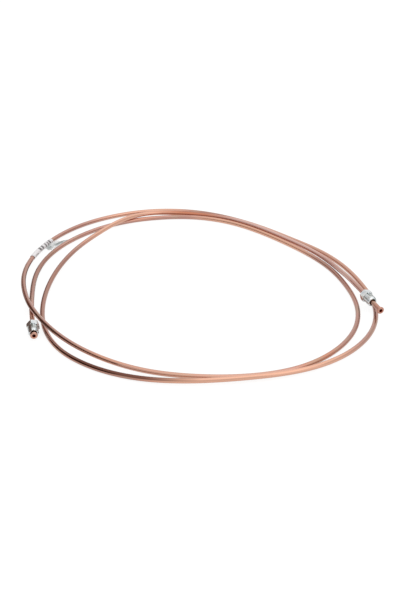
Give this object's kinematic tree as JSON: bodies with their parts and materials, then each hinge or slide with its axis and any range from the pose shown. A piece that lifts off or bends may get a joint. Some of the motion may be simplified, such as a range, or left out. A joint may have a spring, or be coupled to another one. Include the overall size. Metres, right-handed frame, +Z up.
{
  "type": "brake line",
  "caption": "Coiled copper brake pipe with bubble-flared ends, zinc-plated male tube nuts and a wrap-on marker label with a clear tail.",
  "frame": {"origin": "middle of the bounding box, on the level surface the coil lies on", "axes": "+Z up from that surface through the coil's middle; +Y away from the picture's camera; +X to the picture's right, towards the end with the slid-back nut"},
  "size_m": [0.358, 0.3652, 0.0173],
  "materials": {
    "copper": "bright drawn copper, lightly dulled",
    "zinc": "bright zinc plate on turned steel",
    "label_film": "white vinyl wrap with a clear over-laminate tail"
  },
  "bodies": {
    "pipe": {"brake_pipe": "copper", "marker_label": "label_film"},
    "left_nut": {"tube_nut_left": "zinc"},
    "right_nut": {"tube_nut_right": "zinc"}
  },
  "joints": [
    {"name": "left_nut_spin", "type": "hinge", "parent": "pipe", "child": "left_nut", "pos_m": [-0.15409, -0.09464, 0.0065], "axis": [-0.1736, 0.9848, 0], "continuous": true},
    {"name": "right_nut_slide", "type": "slide", "parent": "pipe", "child": "right_nut", "axis": [0.3256, -0.9455, 0], "range_m": [-0.02, 0.0155]}
  ]
}
